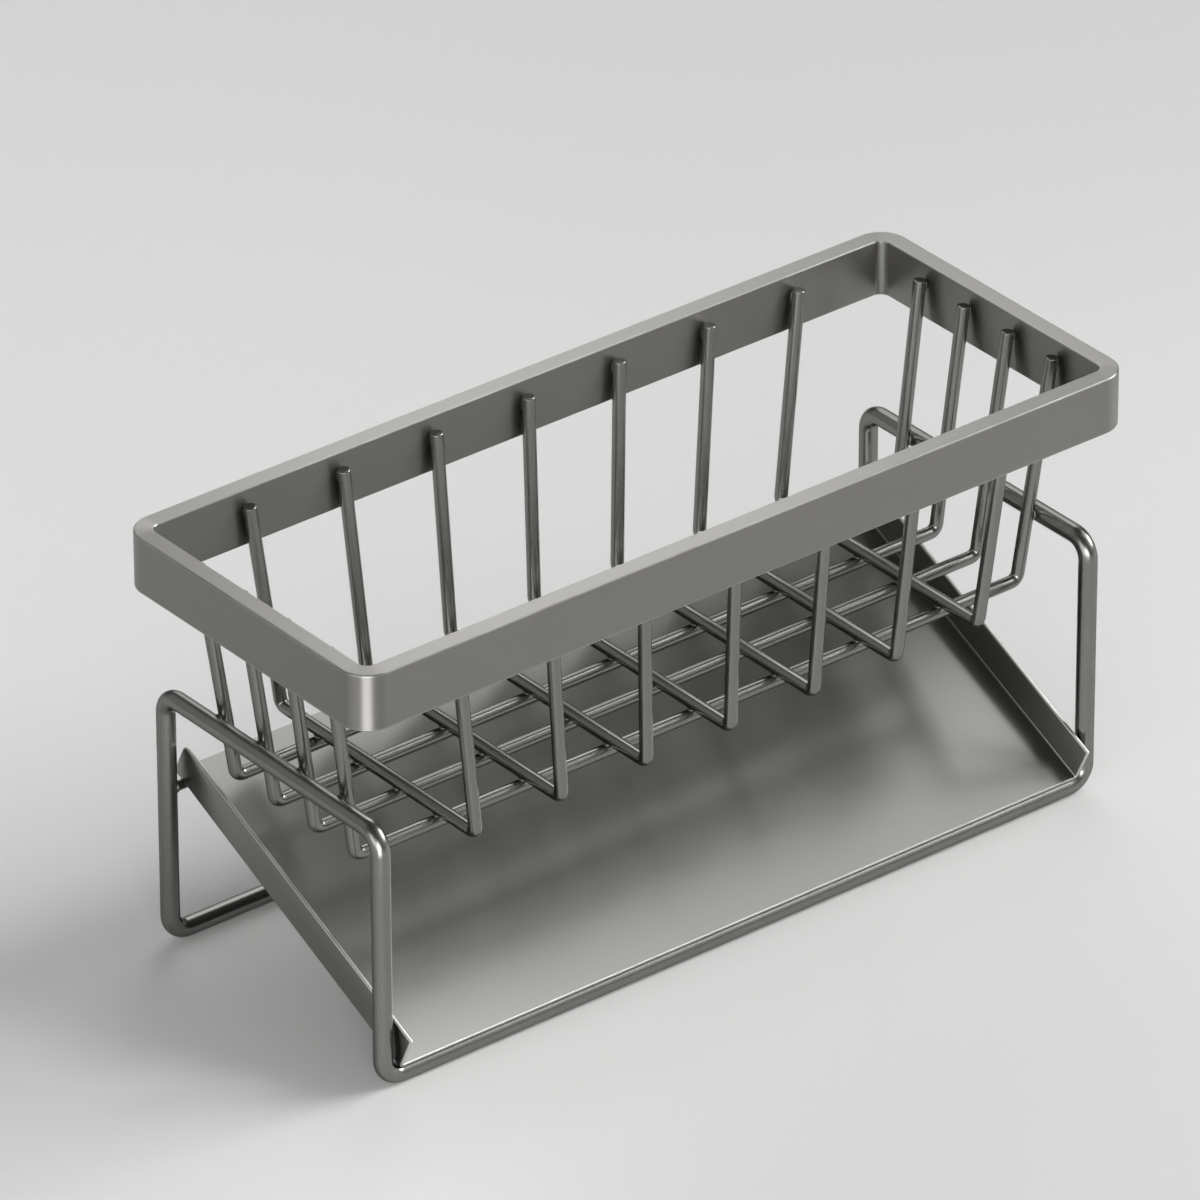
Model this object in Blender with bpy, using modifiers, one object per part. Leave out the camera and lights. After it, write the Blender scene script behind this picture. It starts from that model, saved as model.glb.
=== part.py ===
"""Sink organizer: a wire basket under a flat steel rim, on a bent rod stand over a sloping drip tray.

Metres, +Z up. X runs along the long side, Y from the sink side to the wall side, and
the origin is on the counter under the middle of the rim.
"""

import math

import bmesh
import bpy
from mathutils import Matrix, Quaternion, Vector

# Gap left between two pieces that touch or are welded
CLEARANCE = 0.0003

# Rim, a flat bar bent into a ring and standing on edge
RIM_LENGTH = 0.295
RIM_DEPTH = 0.1166
RIM_TOP_HEIGHT = 0.1465
RIM_BAND_HEIGHT = 0.019
RIM_BAR_THICKNESS = 0.0062
RIM_CORNER_RADIUS = 0.0095
RIM_EDGE_ROUNDING = 0.0004

# Stand, one round rod bent into a closed saddle a little inside the rim's outline
RIM_OVERHANG_AT_ENDS = 0.00785
RIM_OVERHANG_AT_SIDES = 0.00295
STAND_LENGTH = RIM_LENGTH - 2 * RIM_OVERHANG_AT_ENDS
STAND_DEPTH = RIM_DEPTH - 2 * RIM_OVERHANG_AT_SIDES
STAND_HEIGHT = 0.0906
ROD_DIAMETER = 0.006
ROD_TOP_BEND_RADIUS = 0.0066
ROD_FOOT_BEND_RADIUS = 0.0064

# Basket wires, with the margins from the rim's outline to the outermost wires
WIRE_DIAMETER = 0.0042
WIRE_END_ROUNDING = 0.0004
WIRE_END_DROP = 0.0045
BASKET_FLOOR_HEIGHT = 0.0665
CROSS_WIRE_COUNT = 7
CROSS_WIRE_MARGIN_AT_RIM = 0.0416
CROSS_WIRE_MARGIN_AT_FLOOR = 0.0503
CROSS_WIRE_LEAN_IN = 0.0024
CROSS_WIRE_BEND_RADIUS = 0.0024
LONG_WIRE_COUNT = 4
LONG_WIRE_MARGIN_AT_RIM = 0.0271
LONG_WIRE_MARGIN_AT_FLOOR = 0.02935
LONG_WIRE_BEND_RADIUS = 0.003

# Drip tray and the rod that carries its back edge
REST_ROD_DIAMETER = 0.0032
REST_ROD_HEIGHT = 0.0536
TRAY_SHEET = 0.0012
TRAY_SIDE_GAP = 0.0013
TRAY_FLANGE_HEIGHT = 0.0123
TRAY_FRONT_OVERHANG = 0.0008
TRAY_BACK_OVERHANG = 0.0039
TRAY_FOLD_RADIUS = 0.0006
TRAY_BACK_CORNER_RADIUS = 0.0025
TRAY_EDGE_ROUNDING = 0.00015

# Facets
ROD_SIDES = 20
WIRE_SIDES = 16
ROD_BEND_STEPS = 8
WIRE_BEND_STEPS = 6
RIM_CORNER_STEPS = 10
FOLD_STEPS = 3
EDGE_STEPS = 2
SHARP_ANGLE = math.radians(40)


def clear_scene():
    for existing in list(bpy.data.objects):
        bpy.data.objects.remove(existing, do_unlink=True)
    for existing in list(bpy.data.collections):
        bpy.data.collections.remove(existing)


def new_collection(name):
    collection = bpy.data.collections.new(name)
    bpy.context.scene.collection.children.link(collection)
    return collection


def steel(name, shade, roughness):
    material = bpy.data.materials.new(name)
    material.use_nodes = True
    surface = material.node_tree.nodes["Principled BSDF"]
    surface.inputs["Base Color"].default_value = (shade, shade, shade, 1)
    surface.inputs["Metallic"].default_value = 1
    surface.inputs["Roughness"].default_value = roughness
    material.diffuse_color = (shade, shade, shade, 1)
    return material


def round_edges(piece, width, steps):
    """Rounds the sharp edges of a piece, after joining the loose caps of a curve."""
    weld = piece.modifiers.new("Join caps", "WELD")
    weld.merge_threshold = CLEARANCE / 10
    bevel = piece.modifiers.new("Round edges", "BEVEL")
    bevel.width = width
    bevel.segments = steps
    bevel.limit_method = "ANGLE"
    bevel.angle_limit = SHARP_ANGLE
    bevel.harden_normals = False


def bent_path(corners, radii, steps, closed):
    """The centre line through the corners, with each turn rounded to its radius."""
    path = []
    last = len(corners) - 1
    for index, (corner, radius) in enumerate(zip(corners, radii)):
        if not closed and index in (0, last):
            path.append(corner)
            continue
        before = (corners[index - 1] - corner).normalized()
        after = (corners[(index + 1) % len(corners)] - corner).normalized()
        opening = before.angle(after)
        bisector = (before + after).normalized()
        centre = corner + bisector * (radius / math.sin(opening / 2))
        arm = corner + before * (radius / math.tan(opening / 2)) - centre
        axis = before.cross(after)
        for step in range(steps + 1):
            turn = Quaternion(-axis, (math.pi - opening) * step / steps)
            path.append(centre + turn @ arm)
    return path


def bent_rod(name, path, diameter, sides, material, home, closed):
    """A round rod along the path, with flat ends unless it is closed.

    Its facets, and not the edges between them, lie at the full diameter and face the axes.
    """
    curve = bpy.data.curves.new(name, "CURVE")
    curve.dimensions = "3D"
    curve.bevel_depth = diameter / 2 / math.cos(math.pi / sides)
    curve.bevel_resolution = sides // 2 - 2
    curve.use_fill_caps = not closed
    spline = curve.splines.new("POLY")
    spline.points.add(len(path) - 1)
    spline.use_smooth = True
    spline.use_cyclic_u = closed
    for point, place in zip(spline.points, path):
        point.co = (*place, 1)
        point.tilt = math.pi / sides
    curve.materials.append(material)
    rod = bpy.data.objects.new(name, curve)
    home.objects.link(rod)
    return rod


def rounded_rectangle(length, depth, radius, steps):
    """Points around a rectangle with round corners, anticlockwise from above."""
    points = []
    for quarter in range(4):
        start = math.pi / 2 * quarter
        middle = start + math.pi / 4
        centre_x = math.copysign(length / 2 - radius, math.cos(middle))
        centre_y = math.copysign(depth / 2 - radius, math.sin(middle))
        for step in range(steps + 1):
            turn = start + math.pi / 2 * step / steps
            x = centre_x + radius * math.cos(turn)
            y = centre_y + radius * math.sin(turn)
            points.append((x, y))
    return points


def mesh_object(name, shape, material, home):
    mesh = bpy.data.meshes.new(name)
    shape.to_mesh(mesh)
    shape.free()
    mesh.materials.append(material)
    piece = bpy.data.objects.new(name, mesh)
    home.objects.link(piece)
    return piece


def shade(piece):
    mesh = piece.data
    mesh.shade_smooth()
    mesh.set_sharp_from_angle(angle=SHARP_ANGLE)


def make_rim(home, material):
    inner_length = RIM_LENGTH - 2 * RIM_BAR_THICKNESS
    inner_depth = RIM_DEPTH - 2 * RIM_BAR_THICKNESS
    inner_radius = RIM_CORNER_RADIUS - RIM_BAR_THICKNESS
    outer = rounded_rectangle(RIM_LENGTH, RIM_DEPTH, RIM_CORNER_RADIUS, RIM_CORNER_STEPS)
    inner = rounded_rectangle(inner_length, inner_depth, inner_radius, RIM_CORNER_STEPS)
    shape = bmesh.new()
    rings = []
    for outline, height in (
        (outer, -RIM_BAND_HEIGHT),
        (outer, 0),
        (inner, 0),
        (inner, -RIM_BAND_HEIGHT),
    ):
        rings.append([shape.verts.new((x, y, height)) for x, y in outline])
    count = len(outer)
    for ring, following in zip(rings, rings[1:] + rings[:1]):
        for index in range(count):
            beyond = (index + 1) % count
            shape.faces.new((ring[index], ring[beyond], following[beyond], following[index]))
    shape.normal_update()
    rim = mesh_object("rim_band", shape, material, home)
    rim.location = (0, 0, RIM_TOP_HEIGHT)
    shade(rim)
    round_edges(rim, RIM_EDGE_ROUNDING, EDGE_STEPS)
    return rim


def make_stand(home, material):
    half_length = (STAND_LENGTH - ROD_DIAMETER) / 2
    half_depth = (STAND_DEPTH - ROD_DIAMETER) / 2
    low = ROD_DIAMETER / 2
    high = STAND_HEIGHT - ROD_DIAMETER / 2
    corners = [
        Vector((-half_length, -half_depth, low)),
        Vector((half_length, -half_depth, low)),
        Vector((half_length, -half_depth, high)),
        Vector((half_length, half_depth, high)),
        Vector((half_length, half_depth, low)),
        Vector((-half_length, half_depth, low)),
        Vector((-half_length, half_depth, high)),
        Vector((-half_length, -half_depth, high)),
    ]
    radii = [ROD_FOOT_BEND_RADIUS if corner.z == low else ROD_TOP_BEND_RADIUS for corner in corners]
    path = bent_path(corners, radii, ROD_BEND_STEPS, True)
    return bent_rod("stand_frame", path, ROD_DIAMETER, ROD_SIDES, material, home, True)


def end_wire_slope():
    """How far an end wire comes in for each metre down, so that it just clears the stand's rail."""
    top_x = RIM_LENGTH / 2 - RIM_BAR_THICKNESS - CLEARANCE - WIRE_DIAMETER / 2
    top_z = RIM_TOP_HEIGHT - WIRE_END_DROP
    rail_x = (STAND_LENGTH - ROD_DIAMETER) / 2
    rail_z = STAND_HEIGHT - ROD_DIAMETER / 2
    reach = math.hypot(top_x - rail_x, top_z - rail_z)
    apart = (ROD_DIAMETER + WIRE_DIAMETER) / 2 + CLEARANCE
    lean = math.atan2(top_x - rail_x, top_z - rail_z) + math.asin(apart / reach)
    return math.tan(lean)


def make_wire(name, corners, bend_radius, home, material):
    radii = [bend_radius] * len(corners)
    path = bent_path(corners, radii, WIRE_BEND_STEPS, False)
    wire = bent_rod(name, path, WIRE_DIAMETER, WIRE_SIDES, material, home, False)
    round_edges(wire, WIRE_END_ROUNDING, EDGE_STEPS)
    return wire


def even_place(index, count, whole, margin):
    """The place of one of a row of wires spread evenly between two margins, from the middle."""
    return (whole / 2 - margin) * (2 * index / (count - 1) - 1)


def make_cross_wires(home, material):
    """U wires from the front of the rim to its back, fanned a little apart towards the rim."""
    top_y = RIM_DEPTH / 2 - RIM_BAR_THICKNESS - CLEARANCE - WIRE_DIAMETER / 2
    low_y = top_y - CROSS_WIRE_LEAN_IN
    top_z = RIM_TOP_HEIGHT - WIRE_END_DROP
    low_z = BASKET_FLOOR_HEIGHT + WIRE_DIAMETER + CLEARANCE
    for index in range(CROSS_WIRE_COUNT):
        top_x = even_place(index, CROSS_WIRE_COUNT, RIM_LENGTH, CROSS_WIRE_MARGIN_AT_RIM)
        low_x = even_place(index, CROSS_WIRE_COUNT, RIM_LENGTH, CROSS_WIRE_MARGIN_AT_FLOOR)
        corners = [
            Vector((top_x, -top_y, top_z)),
            Vector((low_x, -low_y, low_z)),
            Vector((low_x, low_y, low_z)),
            Vector((top_x, top_y, top_z)),
        ]
        make_wire(f"cross_wire_{index + 1}", corners, CROSS_WIRE_BEND_RADIUS, home, material)


def make_long_wires(home, material):
    """U wires from end to end, under the cross wires, with sloping ends that pass inside the stand."""
    top_x = RIM_LENGTH / 2 - RIM_BAR_THICKNESS - CLEARANCE - WIRE_DIAMETER / 2
    top_z = RIM_TOP_HEIGHT - WIRE_END_DROP
    low_x = top_x - end_wire_slope() * (top_z - BASKET_FLOOR_HEIGHT)
    for index in range(LONG_WIRE_COUNT):
        top_y = even_place(index, LONG_WIRE_COUNT, RIM_DEPTH, LONG_WIRE_MARGIN_AT_RIM)
        low_y = even_place(index, LONG_WIRE_COUNT, RIM_DEPTH, LONG_WIRE_MARGIN_AT_FLOOR)
        corners = [
            Vector((-top_x, top_y, top_z)),
            Vector((-low_x, low_y, BASKET_FLOOR_HEIGHT)),
            Vector((low_x, low_y, BASKET_FLOOR_HEIGHT)),
            Vector((top_x, top_y, top_z)),
        ]
        make_wire(f"long_wire_{index + 1}", corners, LONG_WIRE_BEND_RADIUS, home, material)


def make_rest_rod(home, helpers, material):
    """The thin rod between the back legs, with ends hollowed to fit round the legs."""
    leg_x = (STAND_LENGTH - ROD_DIAMETER) / 2
    leg_y = (STAND_DEPTH - ROD_DIAMETER) / 2
    shape = bmesh.new()
    bmesh.ops.create_cone(
        shape,
        cap_ends=True,
        segments=WIRE_SIDES,
        radius1=REST_ROD_DIAMETER / 2,
        radius2=REST_ROD_DIAMETER / 2,
        depth=2 * leg_x,
        matrix=Matrix.Rotation(math.pi / 2, 4, "Y"),
    )
    rod = mesh_object("tray_rest_rod", shape, material, home)
    rod.location = (0, leg_y, REST_ROD_HEIGHT)
    shade(rod)
    for side, label in ((-1, "left"), (1, "right")):
        shape = bmesh.new()
        bmesh.ops.create_cone(
            shape,
            cap_ends=True,
            segments=ROD_SIDES * 2,
            radius1=ROD_DIAMETER / 2 + CLEARANCE,
            radius2=ROD_DIAMETER / 2 + CLEARANCE,
            depth=4 * REST_ROD_DIAMETER,
        )
        cutter = mesh_object(f"{label} leg space", shape, material, helpers)
        cutter.location = (side * leg_x, leg_y, REST_ROD_HEIGHT)
        cutter.hide_render = True
        cutter.display_type = "WIRE"
        cut = rod.modifiers.new(f"Fit {label} leg", "BOOLEAN")
        cut.operation = "DIFFERENCE"
        cut.solver = "EXACT"
        cut.object = cutter
    return rod


def tray_slope():
    """The angle at which the sheet lies on the front rail and on the rest rod."""
    depth = STAND_DEPTH - ROD_DIAMETER
    rise = REST_ROD_HEIGHT - ROD_DIAMETER / 2
    unlike = (ROD_DIAMETER - REST_ROD_DIAMETER) / 2
    return math.atan2(rise, depth) - math.asin(unlike / math.hypot(depth, rise))


def tray_length():
    """The sheet's length down the slope, from past the rest rod to past the front rail."""
    depth = STAND_DEPTH - ROD_DIAMETER
    rise = REST_ROD_HEIGHT - ROD_DIAMETER / 2
    return math.hypot(depth, rise) + TRAY_FRONT_OVERHANG + TRAY_BACK_OVERHANG


def tray_section():
    """Half of the sheet's upper face, from the middle of the floor to the top of one flange."""
    outer = STAND_LENGTH / 2 - ROD_DIAMETER - TRAY_SIDE_GAP
    wall = outer - TRAY_SHEET
    section = []
    for step in range(FOLD_STEPS + 1):
        turn = math.pi / 2 * step / FOLD_STEPS
        x = wall - TRAY_FOLD_RADIUS + TRAY_FOLD_RADIUS * math.sin(turn)
        z = TRAY_FOLD_RADIUS - TRAY_FOLD_RADIUS * math.cos(turn)
        section.append((x, z))
    section.append((wall, TRAY_FLANGE_HEIGHT))
    return section


def make_tray(home, material):
    """A folded sheet with a flange at each end, lying on the front rail and the rest rod."""
    half = tray_section()
    section = [(-x, z) for x, z in reversed(half)] + half
    shape = bmesh.new()
    front = [shape.verts.new((x, 0, z)) for x, z in section]
    back = [shape.verts.new((x, tray_length(), z)) for x, z in section]
    for index in range(len(section) - 1):
        shape.faces.new((front[index], front[index + 1], back[index + 1], back[index]))
    bmesh.ops.bevel(
        shape,
        geom=[back[0], back[-1]],
        offset=TRAY_BACK_CORNER_RADIUS,
        offset_type="OFFSET",
        segments=FOLD_STEPS,
        profile=0.5,
        affect="VERTICES",
    )
    shape.normal_update()
    tray = mesh_object("drip_tray", shape, material, home)
    slope = tray_slope()
    rail_y = -(STAND_DEPTH - ROD_DIAMETER) / 2
    rail_z = ROD_DIAMETER / 2
    lift = ROD_DIAMETER / 2 + CLEARANCE + TRAY_SHEET
    out = Vector((0, math.cos(slope), math.sin(slope)))
    up = Vector((0, -math.sin(slope), math.cos(slope)))
    tray.location = Vector((0, rail_y, rail_z)) + up * lift - out * TRAY_FRONT_OVERHANG
    tray.rotation_euler = (slope, 0, 0)
    sheet = tray.modifiers.new("Sheet", "SOLIDIFY")
    sheet.thickness = TRAY_SHEET
    sheet.offset = -1
    sheet.use_even_offset = True
    shade(tray)
    round_edges(tray, TRAY_EDGE_ROUNDING, 1)
    return tray


def main():
    clear_scene()
    home = new_collection("Sink organizer")
    helpers = new_collection("Cutters")
    band_steel = steel("Rim steel", 0.30, 0.32)
    wire_steel = steel("Wire steel", 0.26, 0.26)
    rod_steel = steel("Rod steel", 0.26, 0.24)
    sheet_steel = steel("Tray steel", 0.34, 0.22)
    make_rim(home, band_steel)
    make_cross_wires(home, wire_steel)
    make_long_wires(home, wire_steel)
    make_stand(home, rod_steel)
    make_rest_rod(home, helpers, rod_steel)
    make_tray(home, sheet_steel)


main()
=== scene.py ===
"""Looks of a sink organizer: a wire basket under a flat steel rim, a rod stand and a sloping drip tray.

All sizes are in metres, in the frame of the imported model: X along the long side,
Y from the front to the back, Z up, and the origin on the counter under the rim's middle.
"""

import logging
import math
from dataclasses import dataclass, field
from enum import Enum
from typing import Iterable, Sequence

import bmesh
import bpy
from mathutils import Matrix, Quaternion, Vector
from mathutils.noise import noise


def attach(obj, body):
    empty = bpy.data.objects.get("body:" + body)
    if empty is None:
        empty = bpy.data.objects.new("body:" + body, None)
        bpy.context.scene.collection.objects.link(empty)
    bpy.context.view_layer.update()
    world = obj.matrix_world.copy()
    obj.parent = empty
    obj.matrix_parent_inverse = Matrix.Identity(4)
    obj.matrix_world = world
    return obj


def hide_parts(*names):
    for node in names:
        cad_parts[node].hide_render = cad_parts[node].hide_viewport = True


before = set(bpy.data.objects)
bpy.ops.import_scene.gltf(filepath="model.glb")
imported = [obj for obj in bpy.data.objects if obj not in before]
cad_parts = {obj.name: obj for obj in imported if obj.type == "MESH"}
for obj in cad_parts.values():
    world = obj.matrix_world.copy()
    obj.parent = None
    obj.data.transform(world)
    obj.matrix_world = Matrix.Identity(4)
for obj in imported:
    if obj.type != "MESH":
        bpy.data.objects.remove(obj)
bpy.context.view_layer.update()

log = logging.getLogger("sink_organizer")

QUARTER_TURN = math.pi / 2
SHARP_ANGLE = math.radians(38)
# Names of the mesh attributes that hold the grain's coordinates and its direction.
GRAIN = "grain"
DRAWN = "drawn"
# Upward share of a rod's first heading from which it counts as upright.
STEEP_HEADING = 0.7
# The colour mix node's sockets.
MIX_SHARE, MIX_FIRST, MIX_SECOND, MIX_RESULT = 0, 6, 7, 2
# Octaves of the steel's noise textures, and the weight of the finer ones.
SCRATCH_NOISE = (3.0, 0.6)
PEEL_NOISE = (2.0, 0.5)
SMUDGE_NOISE = (4.0, 0.62)
# Size of the peel, in widths of a scratch.
PEEL_WIDTHS = 4
# From and to: smudges to the scratches' strength, scratches to the share of the light colour,
# and smudges to the share of the wear.
SCRATCH_STRENGTH = (0.3, 0.7, 0.8, 1.2)
LIGHT_SHARE = (0.25, 0.75, 0.0, 1.0)
WEAR_SHARE = (0.35, 0.7, 0.35, 1.0)
# Sums of scratches and smudges at which the steel is smoothest and roughest.
ROUGH_SUMS = (0.6, 1.4)
# Turn of the tangent, in whole turns, that lays the reflections across the grain.
ACROSS_THE_GRAIN = 0.25
# Place of the cut edge's finish among the tray's materials.
CUT_EDGE_INDEX = 1

Outline = list[tuple[float, float]]
Triple = tuple[float, float, float]
Colour = Triple


class Body(Enum):
    """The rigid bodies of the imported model."""

    FRAME = "frame"
    TRAY = "tray"


class Slot(Enum):
    """The record's material slots."""

    RIM = "rim_steel"
    WIRE = "wire_steel"
    ROD = "rod_steel"
    TRAY = "tray_steel"


class Side(Enum):
    """One of the two mirrored ends or faces of the object."""

    LOW = -1
    HIGH = 1


@dataclass
class Station:
    """A place on a bent rod's centre line.

    Attributes:
        place: The point.
        heading: The direction of the line there, one unit long.
    """

    place: Vector
    heading: Vector


@dataclass
class NodeGraph:
    """Adds nodes to one material or world and joins them.

    Attributes:
        tree: The node tree that is being filled.
    """

    tree: bpy.types.NodeTree

    def add(self, kind: str, **settings: object) -> bpy.types.Node:
        """Adds a node.

        Args:
            kind: Blender's name for the node type.
            **settings: Properties to set on the node.

        Returns:
            The new node.
        """
        node = self.tree.nodes.new(kind)
        for name, value in settings.items():
            setattr(node, name, value)
        return node

    def join(self, source: bpy.types.NodeSocket, target: bpy.types.NodeSocket) -> None:
        """Links an output to an input."""
        self.tree.links.new(source, target)

    def noise(
        self, vector: bpy.types.NodeSocket, scale: float, detail: float, roughness: float
    ) -> bpy.types.NodeSocket:
        """Adds a noise texture.

        Args:
            vector: The coordinates, in metres or in shares of a grain.
            scale: Cells for each unit of the coordinates.
            detail: Octaves of finer noise.
            roughness: Weight of the finer octaves.

        Returns:
            The noise value's socket, from 0 to 1.
        """
        node = self.add("ShaderNodeTexNoise")
        node.inputs["Scale"].default_value = scale
        node.inputs["Detail"].default_value = detail
        node.inputs["Roughness"].default_value = roughness
        self.join(vector, node.inputs["Vector"])
        return node.outputs["Fac"]

    def stretched(self, vector: bpy.types.NodeSocket, scale: Sequence[float]) -> bpy.types.NodeSocket:
        """Multiplies coordinates by a scale for each axis.

        Args:
            vector: The coordinates.
            scale: One factor for each axis.

        Returns:
            The scaled coordinates.
        """
        node = self.add("ShaderNodeMapping", vector_type="POINT")
        node.inputs["Scale"].default_value = tuple(scale)
        self.join(vector, node.inputs["Vector"])
        return node.outputs["Vector"]

    def ranged(
        self, value: bpy.types.NodeSocket, low: float, high: float, to_low: float, to_high: float
    ) -> bpy.types.NodeSocket:
        """Maps a value smoothly from one range to another.

        Args:
            value: The value's socket.
            low: Value that gives to_low.
            high: Value that gives to_high.
            to_low: Result at and below low.
            to_high: Result at and above high.

        Returns:
            The result's socket.
        """
        node = self.add("ShaderNodeMapRange", interpolation_type="SMOOTHSTEP")
        limits = (low, high, to_low, to_high)
        for name, limit in zip(("From Min", "From Max", "To Min", "To Max"), limits):
            node.inputs[name].default_value = limit
        self.join(value, node.inputs["Value"])
        return node.outputs["Result"]

    def combined(
        self, operation: str, first: bpy.types.NodeSocket, second: bpy.types.NodeSocket
    ) -> bpy.types.NodeSocket:
        """Adds, multiplies or otherwise combines two values.

        Args:
            operation: Blender's name for the operation.
            first: The first value's socket.
            second: The second value's socket.

        Returns:
            The result's socket.
        """
        node = self.add("ShaderNodeMath", operation=operation)
        self.join(first, node.inputs[0])
        self.join(second, node.inputs[1])
        return node.outputs["Value"]

    def blended(
        self, share: bpy.types.NodeSocket, first: Colour | bpy.types.NodeSocket, second: Colour
    ) -> bpy.types.NodeSocket:
        """Mixes two colours.

        Args:
            share: The second colour's share.
            first: The first colour, or its socket.
            second: The second colour.

        Returns:
            The mixed colour's socket.
        """
        node = self.add("ShaderNodeMix", data_type="RGBA")
        if isinstance(first, bpy.types.NodeSocket):
            self.join(first, node.inputs[MIX_FIRST])
        else:
            node.inputs[MIX_FIRST].default_value = (*first, 1)
        node.inputs[MIX_SECOND].default_value = (*second, 1)
        self.join(share, node.inputs[MIX_SHARE])
        return node.outputs[MIX_RESULT]


@dataclass(frozen=True)
class SatinSteel:
    """Gunmetal steel with a satin face, a fine drawn grain, faint smudges and polished edges.

    Attributes:
        name: The finish's name.
        dark: Colour in the grain's low places.
        light: Colour in the grain's high places.
        worn: Colour of the most exposed edges.
        roughness: Lowest and highest roughness over the grain and smudges.
        grain_length: Length of a scratch of the grain.
        grain_width: Width of a scratch of the grain.
        grain_depth: Depth of the grain's bump.
        anisotropy: How much the grain spreads reflections across it.
        smudge_size: Size of the faint smudges.
        wear: Pointiness at which edges begin and end to look worn.
        edge_tint: Share of the light that the steel reflects at a grazing angle.
        flat_faces: Whether flats beside a rounded edge keep a flat shading.
    """

    name: str
    dark: Colour
    light: Colour
    worn: Colour
    roughness: tuple[float, float]
    grain_length: float = 0.030
    grain_width: float = 0.00028
    grain_depth: float = 0.000004
    anisotropy: float = 0.0
    smudge_size: float = 0.035
    wear: tuple[float, float] = (0.53, 0.60)
    edge_tint: float = 1.0
    flat_faces: bool = True

    def build(self) -> bpy.types.Material:
        """Makes the material.

        Returns:
            The new material.
        """
        material = bpy.data.materials.new(self.name)
        material.use_nodes = True
        graph = NodeGraph(material.node_tree)
        surface = material.node_tree.nodes["Principled BSDF"]
        surface.inputs["Metallic"].default_value = 1.0
        surface.inputs["Anisotropic"].default_value = self.anisotropy
        surface.inputs["Anisotropic Rotation"].default_value = ACROSS_THE_GRAIN
        surface.inputs["Specular Tint"].default_value = (*(self.edge_tint,) * 3, 1)
        grain = graph.add("ShaderNodeAttribute", attribute_name=GRAIN).outputs["Vector"]
        place = graph.add("ShaderNodeTexCoord").outputs["Object"]
        across = 1 / self.grain_width
        drawn_out = graph.stretched(grain, (across, across, 1 / self.grain_length))
        scratches = graph.noise(drawn_out, 1.0, *SCRATCH_NOISE)
        peel = graph.noise(place, 1 / (PEEL_WIDTHS * self.grain_width), *PEEL_NOISE)
        smudges = graph.noise(place, 1 / self.smudge_size, *SMUDGE_NOISE)
        mottle = graph.combined("MULTIPLY", scratches, graph.ranged(smudges, *SCRATCH_STRENGTH))
        colour = graph.blended(graph.ranged(mottle, *LIGHT_SHARE), self.dark, self.light)
        pointiness = graph.add("ShaderNodeNewGeometry").outputs["Pointiness"]
        worn = graph.combined(
            "MULTIPLY",
            graph.ranged(pointiness, *self.wear, 0.0, 1.0),
            graph.ranged(smudges, *WEAR_SHARE),
        )
        graph.join(graph.blended(worn, colour, self.worn), surface.inputs["Base Color"])
        uneven = graph.combined("ADD", scratches, smudges)
        graph.join(graph.ranged(uneven, *ROUGH_SUMS, *self.roughness), surface.inputs["Roughness"])
        relief = graph.combined("ADD", scratches, peel)
        bump = graph.add("ShaderNodeBump")
        bump.inputs["Strength"].default_value = 1.0
        bump.inputs["Distance"].default_value = self.grain_depth
        graph.join(relief, bump.inputs["Height"])
        graph.join(bump.outputs["Normal"], surface.inputs["Normal"])
        if self.anisotropy:
            drawn = graph.add("ShaderNodeAttribute", attribute_name=DRAWN)
            graph.join(drawn.outputs["Vector"], surface.inputs["Tangent"])
        return material


@dataclass(frozen=True)
class PaleFloor:
    """A plain pale matt counter.

    Attributes:
        name: The finish's name.
        colour: Its colour.
        roughness: Its roughness.
        gloss: Strength of its clear reflections.
    """

    name: str = "Pale counter"
    colour: Colour = (0.80, 0.80, 0.795)
    roughness: float = 0.6
    gloss: float = 0.3

    def build(self) -> bpy.types.Material:
        """Makes the material.

        Returns:
            The new material.
        """
        material = bpy.data.materials.new(self.name)
        material.use_nodes = True
        surface = material.node_tree.nodes["Principled BSDF"]
        surface.inputs["Base Color"].default_value = (*self.colour, 1)
        surface.inputs["Roughness"].default_value = self.roughness
        surface.inputs["Specular IOR Level"].default_value = self.gloss
        return material


RIM_FINISH = SatinSteel(
    name="Satin rim steel",
    dark=(0.238, 0.234, 0.222),
    light=(0.251, 0.247, 0.234),
    worn=(0.40, 0.395, 0.375),
    roughness=(0.37, 0.39),
    grain_depth=0.0000012,
    anisotropy=0.7,
    wear=(0.510, 0.528),
)
WIRE_FINISH = SatinSteel(
    name="Drawn wire steel",
    dark=(0.226, 0.223, 0.212),
    light=(0.244, 0.241, 0.229),
    worn=(0.33, 0.325, 0.31),
    roughness=(0.22, 0.27),
    grain_width=0.0002,
    grain_depth=0.0000006,
    edge_tint=0.55,
)
ROD_FINISH = SatinSteel(
    name="Drawn rod steel",
    dark=(0.226, 0.223, 0.212),
    light=(0.244, 0.241, 0.229),
    worn=(0.33, 0.325, 0.31),
    roughness=(0.24, 0.29),
    grain_width=0.00022,
    grain_depth=0.0000006,
    edge_tint=0.55,
)
WELD_FINISH = SatinSteel(
    name="Weld steel",
    dark=(0.19, 0.185, 0.175),
    light=(0.27, 0.262, 0.248),
    worn=(0.30, 0.29, 0.275),
    roughness=(0.34, 0.50),
    grain_length=0.0008,
    grain_width=0.0005,
    grain_depth=0.00002,
)
TRAY_FINISH = SatinSteel(
    name="Rolled tray steel",
    dark=(0.240, 0.237, 0.226),
    light=(0.250, 0.247, 0.235),
    worn=(0.250, 0.247, 0.235),
    roughness=(0.282, 0.298),
    grain_length=0.045,
    grain_depth=0.0000006,
    anisotropy=0.3,
    smudge_size=0.05,
    flat_faces=False,
)
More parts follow.
